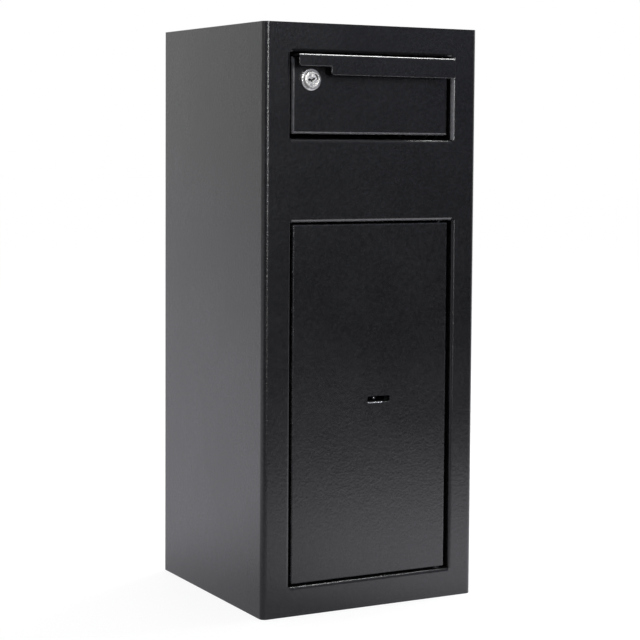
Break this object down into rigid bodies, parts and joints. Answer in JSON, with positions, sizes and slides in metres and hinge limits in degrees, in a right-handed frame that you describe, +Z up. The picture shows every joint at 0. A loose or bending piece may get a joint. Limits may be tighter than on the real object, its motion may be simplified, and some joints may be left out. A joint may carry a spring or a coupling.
{
  "type": "drop safe with deposit drawer",
  "caption": "Slim upright drop safe: a pull-out deposit drawer with a trap flap above a hinged steel door with a double-bit key lock and sliding bolts.",
  "frame": {"origin": "centre of the case's underside, so that the safe stands on the plane z = 0", "axes": "+X to the right seen from the front, +Y from the front into the safe, +Z up; the door and the drawer face -Y"},
  "size_m": [0.248, 0.261, 0.6],
  "materials": {
    "powder": "satin black powder coat with a fine orange-peel texture",
    "zinc": "bright zinc plate",
    "chrome": "polished chrome",
    "steel": "turned plain steel",
    "brass": "satin brass",
    "rubber": "matt black rubber",
    "nylon": "natural nylon"
  },
  "bodies": {
    "case": {"case_shell": "powder", "top_panel": "powder", "bottom_panel": "powder", "back_panel": "powder", "floor_plug_1": "rubber", "floor_plug_2": "rubber", "back_plug_1": "rubber", "back_plug_2": "rubber", "floor_mat": "rubber", "hinge_bush_upper": "steel", "hinge_bush_lower": "steel", "hinge_washer": "brass", "fishing_baffle": "zinc", "guide_plate_left": "zinc", "guide_plate_right": "zinc", "outer_rail_left": "zinc", "outer_rail_right": "zinc"},
    "drawer": {"drawer_front": "powder", "pull_lip": "powder", "drawer_tray": "zinc", "drawer_inner_front": "zinc", "inner_rail_left": "zinc", "inner_rail_right": "zinc", "flap_hinge_rod": "steel", "cam_lock_barrel": "chrome", "cam_lock_nut": "zinc"},
    "flap": {"trap_flap": "zinc", "flap_guide_rod": "steel", "flap_roller_left": "nylon", "flap_roller_right": "nylon"},
    "cam": {"cam_lock_plug": "chrome", "cam_lock_cam": "zinc", "cam_lock_screw": "zinc"},
    "cage_left": {"ball_cage_left": "steel"},
    "cage_right": {"ball_cage_right": "steel"},
    "door": {"door_plate": "powder", "door_casing": "powder", "lock_cover": "powder", "cover_screw_1": "zinc", "cover_screw_2": "zinc", "cover_screw_3": "zinc", "cover_screw_4": "zinc", "hinge_block_upper": "powder", "hinge_block_lower": "powder", "hinge_pin_upper": "steel", "hinge_pin_lower": "steel", "lock_case": "zinc", "key_guide": "zinc", "key_pin": "steel", "lock_screw_1": "steel", "lock_screw_2": "steel", "lock_screw_3": "steel", "lock_screw_4": "steel", "bar_stud_lower": "steel", "bar_stud_upper": "steel"},
    "bolts": {"bolt_bar": "zinc", "bolt_lower": "steel", "bolt_upper": "steel", "lock_bolt": "steel"}
  },
  "joints": [
    {"name": "drawer_slide", "type": "slide", "parent": "case", "child": "drawer", "axis": [0, -1, 0], "range_m": [0, 0.105]},
    {"name": "flap_hinge", "type": "hinge", "parent": "drawer", "child": "flap", "pos_m": [0, -0.083, 0.497], "axis": [1, 0, 0], "range_deg": [0, 32]},
    {"name": "cam_turn", "type": "hinge", "parent": "drawer", "child": "cam", "pos_m": [-0.07025, -0.11, 0.54375], "axis": [0, -1, 0], "range_deg": [0, 90]},
    {"name": "cage_left_slide", "type": "slide", "parent": "case", "child": "cage_left", "axis": [0, -1, 0], "range_m": [0, 0.0525]},
    {"name": "cage_right_slide", "type": "slide", "parent": "case", "child": "cage_right", "axis": [0, -1, 0], "range_m": [0, 0.0525]},
    {"name": "door_hinge", "type": "hinge", "parent": "case", "child": "door", "pos_m": [0.084, -0.1155, 0.2], "axis": [0, 0, 1], "range_deg": [0, 110]},
    {"name": "bolt_slide", "type": "slide", "parent": "door", "child": "bolts", "axis": [-1, 0, 0], "range_m": [0, 0.013]}
  ],
  "couplings": [
    {"joint": "flap_hinge", "follows": "drawer_slide", "rad_per_m": 5.3191},
    {"joint": "cage_left_slide", "follows": "drawer_slide", "ratio": 0.5},
    {"joint": "cage_right_slide", "follows": "drawer_slide", "ratio": 0.5}
  ]
}
